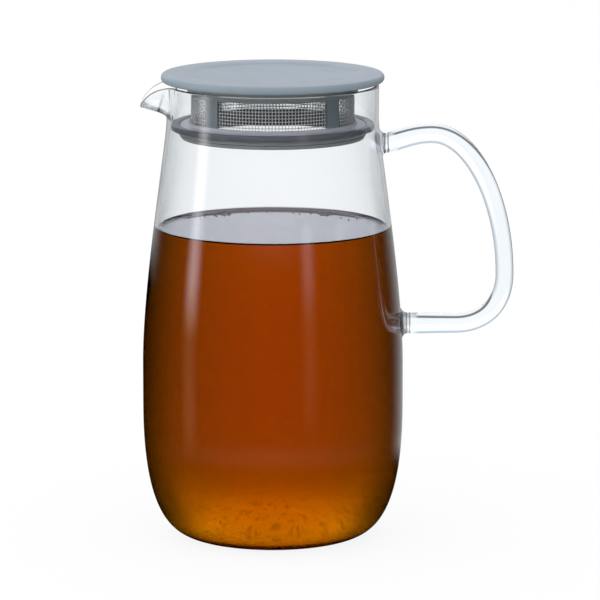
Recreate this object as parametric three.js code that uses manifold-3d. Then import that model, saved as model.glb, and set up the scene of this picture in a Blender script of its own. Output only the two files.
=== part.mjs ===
// Glass tea pitcher with a strainer lid that presses into its neck.
// Millimetres, +Z up. The origin is the middle of the flat base, the handle points to +X and the spout to -X.
import * as THREE from "three";
import { mergeVertices } from "three/addons/utils/BufferGeometryUtils.js";
import Module from "manifold-3d";

const wasm = await Module();
wasm.setup();

// Jug wall: the heel curve rises from the flat base to the belly, the shoulder curve draws in to the neck
const jugHeight = 206.8;
const neckRadius = 47.9;
const neckWall = 1.65;
const neckLength = 16.8;
const bellyRadius = 59.1;
const bellyWall = 2.1;
const bellyTop = 79;
const bellyBottom = 60;
const baseRadius = 34.5;
const baseThickness = 3.5;
const heelFloorShare = 0.61;
const heelSideShare = 0.73;
const shoulderBellyShare = 0.33;
const shoulderNeckShare = 0.08;

// Spout: within its half angle the neck wall leans out about a bend above the seal, most in the middle
const spoutHalfAngle = 22;
const spoutLean = 75;
const spoutDepth = 15.2;
const spoutLipLength = 14.4;
const spoutBendRadius = 2.6;

// Handle: a glass rod, thinner at its far side, between two bosses that flare into the wall
const upperRootDrop = 27;
const rootSpacing = 82.5;
const upperBossLength = 2.3;
const lowerBossLength = 2.9;
const bossFlare = 2.2;
const rootRiseAngle = 15;
const crestOut = 20.7;
const crestRise = 4.4;
const handleReach = 45.9;
const farSideRise = 22.7;
const lowerLimbLength = 21.6;
const upperRootRadius = 4.6;
const crestRadius = 4.45;
const farSideRadius = 4.05;
const lowerBendRadius = 4.5;
const lowerRootRadius = 4.85;
const upperLimbShares = [0.4, 0.39];
const outerBendShares = [0.556, 0.512];
const lowerBendShares = [0.652, 0.568];

// Lid cover: a disc over the rim, dished on top, with a plug that fits in the cage
const coverLift = 1.2;
const coverOverhang = 2.4;
const coverThickness = 3.5;
const coverEdgeRound = 1.3;
const coverRimWidth = 9.3;
const coverDishSlope = 6;
const coverDishDepth = 0.8;
const plugWall = 1.5;
const plugDepth = 3;

// Strainer cage: top ring, four posts, sill and flange, and a hub that carries the seal
const postCount = 4;
const postWidth = 7.3;
const postWall = 0.9;
const windowHeight = 12.3;
const topRingHeight = 5.3;
const topRingProud = 0.4;
const topRingChamfer = 0.9;
const sillHeight = 1.5;
const flangeThickness = 1.5;
const dishWidth = 3.8;
const meshLedge = 1.2;
const hubInset = 1.8;
const hubWall = 1.8;

// Mesh: a net of square gaps in each window, with a plain hem that is held behind the cage
const meshThickness = 0.5;
const meshHem = 1.2;
const meshBar = 0.7;
const gapsPerWindow = 14;
const gapRows = 4;

// Seal and the ring that keeps it on the hub
const lipWidth = 4;
const lipProud = 0.5;
const lipHeight = 2.7;
const lipRound = 0.6;
const sealBodyWall = 1.7;
const sealBodyDrop = 2.3;
const sealConeDrop = 1.6;
const retainerHeight = 2;
const retainerTaper = 1;
const seamChamfer = 0.25;

// Fits
const fitGap = 0.3;
const cutOverrun = 2;

// Facets
const spoutSteps = 16;
const jugSteps = 38;
const ringSteps = 48;
const rodSides = 14;
const heelSteps = 8;
const shoulderSteps = 8;
const lipSteps = 4;
const rimSteps = 4;
const bossSteps = 4;

// Places worked out from the sizes above
const neckInner = neckRadius - neckWall;
const neckMiddle = neckRadius - neckWall / 2;
const spoutRoot = jugHeight - spoutDepth;
const shoulderTop = jugHeight - neckLength;
const upperRootZ = jugHeight - upperRootDrop;
const lowerRootZ = upperRootZ - rootSpacing;
const coverRadius = neckRadius + coverOverhang;
const coverUnderside = jugHeight + coverLift;
const coverTop = coverUnderside + coverThickness;
const windowTop = coverUnderside - topRingHeight;
const windowBottom = windowTop - windowHeight;
const flangeTop = windowBottom - sillHeight;
const flangeUnderside = flangeTop - flangeThickness;
const lipRadius = neckInner - fitGap;
const flangeRadius = lipRadius - lipWidth;
const postRadius = flangeRadius - dishWidth;
const grooveRadius = postRadius - postWall;
const meshRadius = grooveRadius - fitGap;
const ledgeRadius = meshRadius - meshLedge;
const meshBottom = windowBottom - meshHem;
const meshTop = windowTop + meshHem;
const hubRadius = flangeRadius - hubInset;
const sealBore = hubRadius + fitGap;
const sealRadius = sealBore + sealBodyWall;
const lipBottom = flangeTop + lipProud - lipHeight;
const sealBottom = flangeUnderside - sealBodyDrop - fitGap * 2;
const retainerBottom = sealBottom - retainerHeight;

// Colours and finishes
const glass = new THREE.MeshStandardMaterial({
  color: 0xeef3f5,
  roughness: 0.05,
  metalness: 0,
  transparent: true,
  opacity: 0.35,
});
const handleGlass = glass.clone();
const coverPlastic = new THREE.MeshStandardMaterial({ color: 0xa5b2bc, roughness: 0.55, metalness: 0 });
const cagePlastic = new THREE.MeshStandardMaterial({ color: 0x6b7f8a, roughness: 0.45, metalness: 0 });
const meshSteel = new THREE.MeshStandardMaterial({ color: 0xc9cdd0, roughness: 0.3, metalness: 1 });
const sealRubber = new THREE.MeshStandardMaterial({ color: 0x5b5e6c, roughness: 0.5, metalness: 0 });
const retainerPlastic = new THREE.MeshStandardMaterial({ color: 0x5a6065, roughness: 0.4, metalness: 0 });

const radians = THREE.MathUtils.degToRad;
const mix = THREE.MathUtils.lerp;
const xz = (x, z) => new THREE.Vector3(x, 0, z);
const rz = (r, z) => new THREE.Vector2(r, z);

// A closed surface over rings of equal counts, with flat ends or, for a loop of rings, joined to its start
function loft(rings, looped = false) {
  const sides = rings[0].length;
  const points = rings.flat();
  const faces = [];
  const last = looped ? rings.length : rings.length - 1;
  for (let i = 0; i < last; i++) {
    for (let j = 0; j < sides; j++) {
      const next = ((i + 1) % rings.length) * sides;
      const turn = (j + 1) % sides;
      faces.push(i * sides + j, i * sides + turn, next + turn);
      faces.push(i * sides + j, next + turn, next + j);
    }
  }
  if (!looped) {
    const ends = [rings[0], rings.at(-1)];
    const middles = ends.map((ring) => ring.reduce((sum, p) => sum.add(p), xz(0, 0)).divideScalar(sides));
    const first = points.length;
    points.push(...middles);
    const top = (rings.length - 1) * sides;
    for (let j = 0; j < sides; j++) {
      const turn = (j + 1) % sides;
      faces.push(first, turn, j);
      faces.push(first + 1, top + j, top + turn);
    }
  }
  return new THREE.BufferGeometry().setFromPoints(points).setIndex(faces);
}

// A profile of radius and height, turned about Z
function revolve(profile) {
  return new THREE.LatheGeometry(profile, ringSteps).rotateX(Math.PI / 2);
}

// A closed geometry as a solid for joining and cutting
function toSolid(geometry) {
  const bare = geometry.clone();
  bare.deleteAttribute("normal");
  bare.deleteAttribute("uv");
  const merged = mergeVertices(bare);
  const faces = [];
  for (let i = 0; i < merged.index.count; i += 3) {
    const [a, b, c] = merged.index.array.slice(i, i + 3);
    if (a !== b && b !== c && c !== a) faces.push(a, b, c);
  }
  const vertProperties = merged.attributes.position.array;
  return new wasm.Manifold(new wasm.Mesh({ numProp: 3, vertProperties, triVerts: new Uint32Array(faces) }));
}

function toGeometry(solid) {
  const { vertProperties, triVerts } = solid.getMesh();
  return new THREE.BufferGeometry()
    .setAttribute("position", new THREE.BufferAttribute(vertProperties, 3))
    .setIndex(new THREE.BufferAttribute(triVerts, 1));
}

function piece(name, geometry, material) {
  geometry.computeVertexNormals();
  const mesh = new THREE.Mesh(geometry, material);
  mesh.name = name;
  return mesh;
}

const heelCurve = new THREE.CubicBezierCurve(
  rz(baseRadius, 0),
  rz(mix(baseRadius, bellyRadius, heelFloorShare), 0),
  rz(bellyRadius, bellyBottom * (1 - heelSideShare)),
  rz(bellyRadius, bellyBottom),
);
const shoulderCurve = new THREE.CubicBezierCurve(
  rz(bellyRadius, bellyTop),
  rz(bellyRadius, mix(bellyTop, shoulderTop, shoulderBellyShare)),
  rz(neckRadius, mix(shoulderTop, bellyTop, shoulderNeckShare)),
  rz(neckRadius, shoulderTop),
);

// Points up one curve of the outside, each with its partner on the inside, a wall's thickness in from it
function wallPoints(curve, steps, startWall, endWall) {
  return Array.from({ length: steps + 1 }, (_, i) => {
    const outer = curve.getPoint(i / steps);
    const along = curve.getTangent(i / steps);
    const wall = mix(startWall, endWall, i / steps);
    return { outer, inner: rz(outer.x - along.y * wall, outer.y + along.x * wall) };
  });
}

// The wall's section: up the outside, over the rounded rim and down the inside to the floor
function wallSection() {
  const wall = [
    ...wallPoints(heelCurve, heelSteps, baseThickness, bellyWall),
    ...wallPoints(shoulderCurve, shoulderSteps, bellyWall, neckWall),
  ];
  const lipTop = jugHeight - neckWall / 2;
  for (let i = 0; i <= lipSteps; i++) {
    const z = mix(spoutRoot, lipTop, i / lipSteps);
    wall.push({ outer: rz(neckRadius, z), inner: rz(neckInner, z) });
  }
  const rim = Array.from({ length: rimSteps - 1 }, (_, i) => {
    const turn = (Math.PI * (i + 1)) / rimSteps;
    return rz(neckMiddle + (Math.cos(turn) * neckWall) / 2, lipTop + (Math.sin(turn) * neckWall) / 2);
  });
  return [...wall.map((p) => p.outer), ...rim, ...wall.map((p) => p.inner).reverse()];
}

// A point of the section at an angle round the jug, leaned out where it belongs to the spout
function wallPoint(point, angle) {
  const off = Math.abs(angle - Math.PI) / radians(spoutHalfAngle);
  const pinch = off < 1 ? Math.cos((Math.PI / 2) * off) ** 2 : 0;
  let { x: r, y: z } = point;
  const rise = z - spoutRoot;
  if (pinch > 0 && rise > 0) {
    const lean = radians(spoutLean) * pinch;
    const run = rise * mix(1, spoutLipLength / spoutDepth, pinch);
    const turned = Math.min(lean, run / spoutBendRadius);
    const straight = Math.max(0, run - spoutBendRadius * lean);
    const out = spoutBendRadius * (1 - Math.cos(turned)) + straight * Math.sin(turned);
    const up = spoutBendRadius * Math.sin(turned) + straight * Math.cos(turned);
    const offset = r - neckMiddle;
    r = neckMiddle + out + offset * Math.cos(turned);
    z = spoutRoot + up - offset * Math.sin(turned);
  }
  return new THREE.Vector3(r * Math.cos(angle), r * Math.sin(angle), z);
}

// Angles round the jug, close together at the spout
function jugAngles() {
  const half = radians(spoutHalfAngle);
  const spout = Array.from({ length: spoutSteps }, (_, i) => Math.PI + mix(-half, half, i / spoutSteps));
  const rest = Array.from({ length: jugSteps }, (_, i) => mix(half - Math.PI, Math.PI - half, i / jugSteps));
  return [...rest, ...spout];
}

function wallRadiusAt(height) {
  const outside = [...heelCurve.getPoints(100), ...shoulderCurve.getPoints(100), rz(neckRadius, jugHeight)];
  const i = outside.findIndex((p) => p.y >= height);
  const [a, b] = [outside[i - 1], outside[i]];
  return mix(a.x, b.x, (height - a.y) / (b.y - a.y));
}

// A ring of a rod whose middle line lies in the plane of the handle
function rodRing(middle, direction, radius) {
  return Array.from({ length: rodSides }, (_, i) => {
    const turn = (2 * Math.PI * i) / rodSides;
    const across = radius * Math.cos(turn);
    return new THREE.Vector3(
      middle.x - direction.z * across,
      -radius * Math.sin(turn),
      middle.z + direction.x * across,
    );
  });
}

const level = xz(1, 0);
const upperSeamX = wallRadiusAt(upperRootZ) + upperBossLength;
const lowerSeamX = wallRadiusAt(lowerRootZ) + lowerBossLength;

// A boss from the middle of the wall to its seam, flared towards the wall
function boss(seamX, height, radius) {
  const wallMiddle = wallRadiusAt(height) - mix(neckWall, bellyWall, 1 / 2) / 2;
  const rings = Array.from({ length: bossSteps + 1 }, (_, i) => {
    const share = i / bossSteps;
    return rodRing(xz(mix(wallMiddle, seamX, share), height), level, radius + bossFlare * (1 - share) ** 2);
  });
  return loft(rings);
}

function jugBody() {
  const angles = jugAngles();
  const walls = loft(wallSection().map((point) => angles.map((angle) => wallPoint(point, angle))));
  const joined = toSolid(walls)
    .add(toSolid(boss(upperSeamX, upperRootZ, upperRootRadius)))
    .add(toSolid(boss(lowerSeamX, lowerRootZ, lowerRootRadius)));
  return piece("jug_body", toGeometry(joined), glass);
}

// The rod rises from its upper seam to a crest, falls to its far side and turns back along a level limb
function handle() {
  const start = xz(upperSeamX, upperRootZ);
  const crest = xz(upperSeamX + crestOut, upperRootZ + crestRise);
  const far = xz(bellyRadius + handleReach, lowerRootZ + farSideRise);
  const limb = xz(lowerSeamX + lowerLimbLength, lowerRootZ);
  const end = xz(lowerSeamX, lowerRootZ);
  const rootDirection = xz(Math.cos(radians(rootRiseAngle)), Math.sin(radians(rootRiseAngle)));
  const out = far.x - crest.x;
  const drop = crest.z - far.z;
  const runs = [
    {
      curve: new THREE.CubicBezierCurve3(
        start,
        start.clone().addScaledVector(rootDirection, crestOut * upperLimbShares[0]),
        xz(crest.x - crestOut * upperLimbShares[1], crest.z),
        crest,
      ),
      steps: 5,
    },
    {
      curve: new THREE.CubicBezierCurve3(
        crest,
        xz(crest.x + out * outerBendShares[0], crest.z),
        xz(far.x, far.z + drop * outerBendShares[1]),
        far,
      ),
      steps: 12,
    },
    {
      curve: new THREE.CubicBezierCurve3(
        far,
        xz(far.x, far.z - farSideRise * lowerBendShares[0]),
        xz(limb.x + (far.x - limb.x) * lowerBendShares[1], limb.z),
        limb,
      ),
      steps: 9,
    },
    { curve: new THREE.LineCurve3(limb, end), steps: 2 },
  ];
  const radii = [upperRootRadius, crestRadius, farSideRadius, lowerBendRadius, lowerRootRadius];
  const rings = [rodRing(start, level, upperRootRadius)];
  runs.forEach(({ curve, steps }, run) => {
    for (let i = 1; i <= steps; i++) {
      const share = i / steps;
      const radius = mix(radii[run], radii[run + 1], THREE.MathUtils.smoothstep(share, 0, 1));
      rings.push(rodRing(curve.getPoint(share), curve.getTangent(share), radius));
    }
  });
  return piece("handle", loft(rings), handleGlass);
}

function lidCover() {
  const plugRadius = ledgeRadius - fitGap;
  const plugInner = plugRadius - plugWall;
  const dishRadius = coverRadius - coverRimWidth;
  const dishFloor = coverTop - coverDishDepth;
  const edge = Array.from({ length: 7 }, (_, i) => {
    const turn = Math.PI * (i / 6 - 1 / 2);
    return rz(
      coverRadius - coverEdgeRound * (1 - Math.cos(turn)),
      coverUnderside + (coverThickness * (1 + Math.sin(turn))) / 2,
    );
  });
  const slope = Array.from({ length: 5 }, (_, i) => {
    const fall = THREE.MathUtils.smoothstep(i / 4, 0, 1);
    return rz(dishRadius - (coverDishSlope * i) / 4, mix(coverTop, dishFloor, fall));
  });
  const profile = [
    rz(0, coverUnderside),
    rz(plugInner, coverUnderside),
    rz(plugInner, coverUnderside - plugDepth),
    rz(plugRadius, coverUnderside - plugDepth),
    rz(plugRadius, coverUnderside),
    ...edge,
    ...slope,
    rz(0, dishFloor),
  ];
  return piece("lid_cover", revolve(profile), coverPlastic);
}

const postAngle = postWidth / postRadius;
const windowAngle = (2 * Math.PI) / postCount - postAngle;

// A block that cuts one window out of the cage's wall, centred on an angle
function windowCutter(angle) {
  const inner = grooveRadius - cutOverrun;
  const outer = postRadius + cutOverrun;
  const sector = new THREE.Shape();
  sector.absarc(0, 0, outer, angle - windowAngle / 2, angle + windowAngle / 2, false);
  sector.absarc(0, 0, inner, angle + windowAngle / 2, angle - windowAngle / 2, true);
  const block = new THREE.ExtrudeGeometry(sector, { depth: windowHeight, bevelEnabled: false, curveSegments: 8 });
  return toSolid(block.translate(0, 0, windowBottom));
}

function strainerFrame() {
  const ringRadius = postRadius + topRingProud;
  const hubInner = hubRadius - hubWall;
  const profile = [
    rz(hubInner, retainerBottom),
    rz(hubRadius, retainerBottom),
    rz(hubRadius, flangeUnderside),
    rz(flangeRadius, flangeUnderside),
    rz(flangeRadius, flangeTop),
    rz(postRadius, flangeTop),
    rz(postRadius, windowTop),
    rz(ringRadius, windowTop + topRingChamfer),
    rz(ringRadius, coverUnderside),
    rz(ledgeRadius, coverUnderside),
    rz(ledgeRadius, meshTop + fitGap),
    rz(grooveRadius, meshTop + fitGap),
    rz(grooveRadius, meshBottom),
    rz(ledgeRadius, meshBottom),
    rz(ledgeRadius, flangeUnderside),
    rz(hubInner, flangeUnderside),
  ];
  profile.push(profile[0].clone());
  let cage = toSolid(revolve(profile));
  for (let i = 0; i < postCount; i++) {
    cage = cage.subtract(windowCutter((2 * Math.PI * i) / postCount));
  }
  return piece("strainer_frame", toGeometry(cage), cagePlastic);
}

// Marks that split a span into gaps with a bar between each two, and whether each step is a gap
function netMarks(start, span, gaps, bar) {
  const gap = (span - bar * (gaps - 1)) / gaps;
  const marks = [];
  for (let i = 0; i < gaps; i++) {
    marks.push({ at: start + i * (gap + bar), open: true }, { at: start + i * (gap + bar) + gap, open: false });
  }
  return marks;
}

// A band whose net is open in the windows: faces outside and inside each solid cell, walls where a gap begins
function strainerMesh() {
  const barAngle = meshBar / meshRadius;
  const columns = [];
  for (let i = 0; i < postCount; i++) {
    const start = (2 * Math.PI * i) / postCount - windowAngle / 2 + barAngle;
    columns.push(...netMarks(start, windowAngle - 2 * barAngle, gapsPerWindow, barAngle));
  }
  const rows = [
    { at: meshBottom, open: false },
    ...netMarks(windowBottom, windowHeight, gapRows, meshBar),
    { at: meshTop, open: false },
  ];
  const inner = meshRadius - meshThickness;
  const points = [];
  for (const radius of [meshRadius, inner]) {
    for (const row of rows) {
      for (const { at } of columns) points.push(new THREE.Vector3(radius * Math.cos(at), radius * Math.sin(at), row.at));
    }
  }
  const across = columns.length;
  const layer = across * rows.length;
  const corner = (side, row, column) => side * layer + row * across + (column % across);
  const solidAt = (row, column) => {
    if (row < 0 || row >= rows.length - 1) return false;
    return !(rows[row].open && columns[(column + across) % across].open);
  };
  const faces = [];
  const quad = (a, b, c, d) => faces.push(a, b, c, a, c, d);
  for (let row = 0; row < rows.length - 1; row++) {
    for (let column = 0; column < across; column++) {
      if (!solidAt(row, column)) continue;
      const [a, b, c, d] = [[row, column], [row, column + 1], [row + 1, column + 1], [row + 1, column]];
      const [oa, ob, oc, od] = [a, b, c, d].map((p) => corner(0, ...p));
      const [ia, ib, ic, id] = [a, b, c, d].map((p) => corner(1, ...p));
      quad(oa, ob, oc, od);
      quad(ia, id, ic, ib);
      if (!solidAt(row - 1, column)) quad(oa, ia, ib, ob);
      if (!solidAt(row + 1, column)) quad(od, oc, ic, id);
      if (!solidAt(row, column - 1)) quad(oa, od, id, ia);
      if (!solidAt(row, column + 1)) quad(ob, ib, ic, oc);
    }
  }
  return piece("strainer_mesh", new THREE.BufferGeometry().setFromPoints(points).setIndex(faces), meshSteel);
}

function lidSeal() {
  const lipTop = flangeTop + lipProud;
  const lipInner = flangeRadius + fitGap;
  const profile = [
    rz(sealBore, sealBottom),
    rz(sealRadius - seamChamfer, sealBottom),
    rz(sealRadius, sealBottom + seamChamfer),
    rz(sealRadius, lipBottom - sealConeDrop),
    rz(lipRadius - lipRound, lipBottom),
    rz(lipRadius, lipBottom + lipRound),
    rz(lipRadius, lipTop - lipRound),
    rz(lipRadius - lipRound, lipTop),
    rz(lipInner, flangeTop),
    rz(lipInner, flangeUnderside),
    rz(sealBore, flangeUnderside),
  ];
  profile.push(profile[0].clone());
  return piece("lid_seal", revolve(profile), sealRubber);
}

function sealRetainer() {
  const profile = [
    rz(sealBore, retainerBottom),
    rz(sealRadius - retainerTaper, retainerBottom),
    rz(sealRadius, sealBottom - seamChamfer),
    rz(sealRadius - seamChamfer, sealBottom),
    rz(sealBore, sealBottom),
  ];
  profile.push(profile[0].clone());
  return piece("seal_retainer", revolve(profile), retainerPlastic);
}

const jug = new THREE.Group();
jug.add(jugBody(), handle());

const lid = new THREE.Group();
lid.add(lidCover(), strainerFrame(), strainerMesh(), lidSeal(), sealRetainer());

const pitcher = new THREE.Group();
pitcher.add(jug, lid);

export default pitcher;
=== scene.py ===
"""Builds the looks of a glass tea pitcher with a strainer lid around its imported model."""

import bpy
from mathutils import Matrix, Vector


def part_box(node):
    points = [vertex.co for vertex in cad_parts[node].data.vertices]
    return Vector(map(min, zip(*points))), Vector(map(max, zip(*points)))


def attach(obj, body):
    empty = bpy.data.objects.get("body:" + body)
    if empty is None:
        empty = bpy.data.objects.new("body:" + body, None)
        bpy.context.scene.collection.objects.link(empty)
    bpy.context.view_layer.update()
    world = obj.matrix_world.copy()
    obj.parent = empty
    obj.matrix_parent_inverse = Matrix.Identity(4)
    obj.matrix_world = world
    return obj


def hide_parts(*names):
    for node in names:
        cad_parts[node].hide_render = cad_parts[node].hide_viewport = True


bl_info = {
    "name": "Tea pitcher",
    "version": (1, 0, 0),
    "blender": (4, 5, 0),
    "location": "3D View > Sidebar > Pitcher",
    "description": "Makes a glass tea pitcher, its strainer lid, the tea in it and a studio",
    "category": "Object",
}

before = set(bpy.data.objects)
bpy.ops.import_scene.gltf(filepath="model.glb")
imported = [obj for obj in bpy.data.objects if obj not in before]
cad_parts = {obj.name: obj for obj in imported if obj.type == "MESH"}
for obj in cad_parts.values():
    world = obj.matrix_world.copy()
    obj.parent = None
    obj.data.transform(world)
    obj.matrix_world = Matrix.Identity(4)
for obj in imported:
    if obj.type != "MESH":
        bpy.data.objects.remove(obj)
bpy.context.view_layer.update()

import math

import bmesh
import bpy
import numpy as np
from bpy.props import FloatProperty, FloatVectorProperty, IntProperty, PointerProperty
from mathutils import Vector

MM = 0.001
MERGE_DISTANCE = 1e-7

# Facets
TURN_STEPS = 192
SPOUT_STEPS = 72
JUG_STEPS = 150
HEEL_STEPS = 32
SHOULDER_STEPS = 48
LIP_STEPS = 36
LIP_CROWDING = 1.6
RIM_STEPS = 14
ROD_SIDES = 48
BOSS_STEPS = 26
RUN_STEPS = (34, 44, 40, 16)
SEAM_STEPS = 16
SEAM_REACH = 0.07
FILLET_STEPS = 5
CORNER_STEPS = 6
WINDOW_STEPS = 40
SURFACE_STEPS = 70
COVER_EDGE_STEPS = 16
DISH_STEPS = 12
WIRE_SIDES = 6
WEAVE_STEPS = 4
BUBBLE_SUBDIVISIONS = 3
SHARP_ANGLE = math.radians(38)
GLASS_SHARP_ANGLE = math.radians(16)

# Shares and small sizes of shapes that the panel leaves alone
UPPER_LIMB_SHARES = (0.4, 0.39)
OUTER_BEND_SHARES = (0.556, 0.512)
LOWER_BEND_SHARES = (0.652, 0.568)
ROD_RADII = (4.6 * MM, 4.45 * MM, 4.05 * MM, 4.5 * MM, 4.85 * MM)
ROOT_BEND = 6 * MM
BOSS_SINK = 0.7 * MM
BOSS_START = 0.12 * MM
COVER_EDGE_ROUND = 1.3 * MM
PLUG_CHAMFER = 0.4 * MM
SMALL_FILLET = 0.2 * MM
SEAM_GAP = 0.03 * MM
POST_COUNT = 4
CUT_OVERRUN = 2 * MM

# The two loose groups of bubbles along the tea's far edge. Gaps are in radii of the largest bubbles
FROTH_ANGLE = math.radians(33)
FROTH_SPREAD = math.radians(4)
FROTH_STRAY = 5
FROTH_GAP = 24
SMALLEST_BUBBLE = 0.25

# The dark card and disc that the glass mirrors, in metres, and the X between which the card fades out
FLAG_STEPS = 25
FLAG_RADIUS = 0.15
FLAG_TOP = 0.129
FLAG_FADE = 0.03
FLAG_END = (-0.055, -0.015)
DISC_STEPS = 48
DISC_RADIUS = 0.22
DISC_DEPTH = 2 * MM

# Light: bounces that clear pieces need, the shadow's share of the floor, and how near the camera still sees
BOUNCES = 32
SHADOW_SHARE = 0.12
CLIP_START = 0.05

# Colours, optics and textures of the finishes. A loss is what a metre takes away of red, green and blue, and
# waves, specks, clouds, grain and streaks are scales of noise
WHITE = (1.0, 1.0, 1.0)
BLACK = (0.0, 0.0, 0.0)
FLOOR_LIGHT = (0.6, 0.6, 0.6)
COOL_LIGHT = (0.86, 0.93, 1.0)
SKY_LIGHT = (0.975, 0.965, 1.05)
WARM_GLOW = (1.0, 0.8, 0.4)
CLEAR_TINT = (0.985, 0.99, 0.995)
# Painted shade: the dark rim at the base of the glass, where it stands on the table
BASE_RIM_SHADE = (0.12, 0.03, 0.02)
# Painted shade: the dark rings at the welds
WELD_SHADE = (0.12, 0.13, 0.13)
GLASS_INDEX = 1.48
GLASS_WAVES = 34.0
GLASS_WAVE_DEPTH = 0.25 * MM
GLASS_LOSS = (14.0, 8.5, 5.0)
TEA_TINT = (1.0, 0.75, 1.0)
TEA_INDEX = 1.333
TEA_LOSS = (9.3, 24.7, 90.0)
TEA_SPECKS = 560.0
BUBBLE_TINT = (0.62, 0.6, 0.6)
# Painted shade at the bubbles' rims
BUBBLE_EDGE_SHADE = (0.04, 0.03, 0.03)
BUBBLE_INDEX = 1.25
PLASTIC_CLOUDS = 60.0
PLASTIC_GRAIN = 2600.0
COVER_GRAIN_DEPTH = 0.012 * MM
CAGE_GRAIN_DEPTH = 0.01 * MM
RING_GRAIN_DEPTH = 0.006 * MM
COLOUR_FADE = 0.3 * MM
STEEL_STREAKS = 900.0

# The power of the painted shade that darkens the tea towards its sides, how much higher it is at the heel, and the
# share of the heel's tilt that counts as turned towards the eye or away from it
TEA_SHADE_POWER = 5.7
TEA_HEEL_SHADE_POWER = 2.8
TEA_HEEL_TURN = 0.14

# Where a look starts and where it is at its full strength, as heights, distances from the axis, or X. The
# spout's rim rises by a share of its X
# Where the painted shade at the base's rim, of the glass and of the tea, fades in
BASE_RIM_SHADE_FADE = (5 * MM, 3.2 * MM)
BASE_RIM_SHADE_REACH = (26 * MM, 36 * MM)
SPOUT_ROOT_FADE = (189 * MM, 192 * MM)
SPOUT_START_FADE = (-44 * MM, -48 * MM)
SPOUT_RIM_RISE = 0.55
SPOUT_RIM_FADE = (232.5 * MM, 227 * MM)
TEA_HEEL_FADE = (55 * MM, 10 * MM)
TEA_CLOUD_FADE = (28 * MM, 5 * MM)
TEA_RIM_SHADE_FADE = (9 * MM, 3.5 * MM)
TEA_PAINTED_GLOW_FADE = (100 * MM, 45 * MM)

# A weld's look: how far from the weld it fades, and where its two dark rings of painted shade lie and fade
WELD_FADE = (7 * MM, 5.5 * MM)
WELD_SHADE_RING_OFFSET = 0.75 * MM
WELD_SHADE_RING_FADE = (0.45 * MM, 0.2 * MM)


def low(node):
    """The lowest corner of a CAD node's box."""
    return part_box(node)[0]


def high(node):
    """The highest corner of a CAD node's box."""
    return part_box(node)[1]


def length(name, description, value):
    """A size in metres, which the panel shows as a length."""
    return FloatProperty(name=name, description=description, default=value, min=0, precision=5, unit="LENGTH")


def share(name, description, value):
    return FloatProperty(name=name, description=description, default=value, min=0, max=1)


def angle(name, description, degrees):
    return FloatProperty(name=name, description=description, default=math.radians(degrees), unit="ROTATION")


def colour(name, description, value):
    return FloatVectorProperty(
        name=name, description=description, default=value, size=3, min=0, max=1, subtype="COLOR"
    )


class JugProperties(bpy.types.PropertyGroup):
    """Sizes of the blown glass jug."""

    height: length("Height", "From the base to the rim", high("jug_body").z)
    neck_radius: length("Neck radius", "Outside of the straight neck", 47.9 * MM)
    neck_wall: length("Neck wall", "Thickness of the glass at the neck", 1.65 * MM)
    neck_length: length("Neck length", "From the rim down to the shoulder", 16.8 * MM)
    belly_radius: length("Belly radius", "Outside at the widest place", high("jug_body").y)
    belly_wall: length("Belly wall", "Thickness of the glass at the belly", 2.1 * MM)
    belly_top: length("Belly top", "Height where the shoulder starts", 79 * MM)
    belly_bottom: length("Belly bottom", "Height where the heel ends", 60 * MM)
    base_radius: length("Base radius", "Radius of the flat base", 34.5 * MM)
    base_thickness: length("Base thickness", "Thickness of the glass at the base", 3.5 * MM)
    heel_floor: share("Heel floor share", "How far the heel stays low on its way out", 0.61)
    heel_side: share("Heel side share", "How far the heel stays upright below the belly", 0.73)
    shoulder_belly: share("Shoulder belly share", "How far the shoulder stays as wide as the belly", 0.33)
    shoulder_neck: share("Shoulder neck share", "How far the shoulder is as narrow as the neck", 0.08)
    spout_half_angle: angle("Spout half angle", "Half of the rim's turn that the spout takes", 22)
    spout_lean: angle("Spout lean", "Lean of the spout's middle line", 75)
    spout_depth: length("Spout depth", "From the rim down to the spout's root", 15.2 * MM)
    spout_lip: length("Spout lip length", "Length of the wall along the spout's middle", 14.4 * MM)
    spout_bend: length("Spout bend radius", "Radius of the bend at the spout's root", 2.6 * MM)


class HandleProperties(bpy.types.PropertyGroup):
    """Sizes of the bent glass rod and of the bosses that it is welded to."""

    upper_drop: length("Upper root drop", "From the rim down to the upper root", 27 * MM)
    root_spacing: length("Root spacing", "From the upper root down to the lower root", 82.5 * MM)
    upper_boss: length("Upper boss length", "From the wall to the upper weld", 2.3 * MM)
    lower_boss: length("Lower boss length", "From the wall to the lower weld", 2.9 * MM)
    boss_flare: length("Boss flare", "How much wider a boss is at the wall", 2.2 * MM)
    root_rise: angle("Root rise", "Direction of the rod at its upper root", 15)
    crest_out: length("Crest out", "From the upper weld out to the highest place", 20.7 * MM)
    crest_rise: length("Crest rise", "From the upper weld up to the highest place", 4.4 * MM)
    reach: length("Reach", "From the belly out to the middle of the far side", 45.9 * MM)
    far_rise: length("Far side rise", "From the lower root up to the farthest place", 22.7 * MM)
    lower_limb: length("Lower limb length", "Straight run at the lower root", 21.6 * MM)
    weld_groove: length("Weld groove", "Depth of the groove at each weld", 0.25 * MM)
    weld_width: length("Weld width", "Half width of the groove at each weld", 0.4 * MM)


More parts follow.
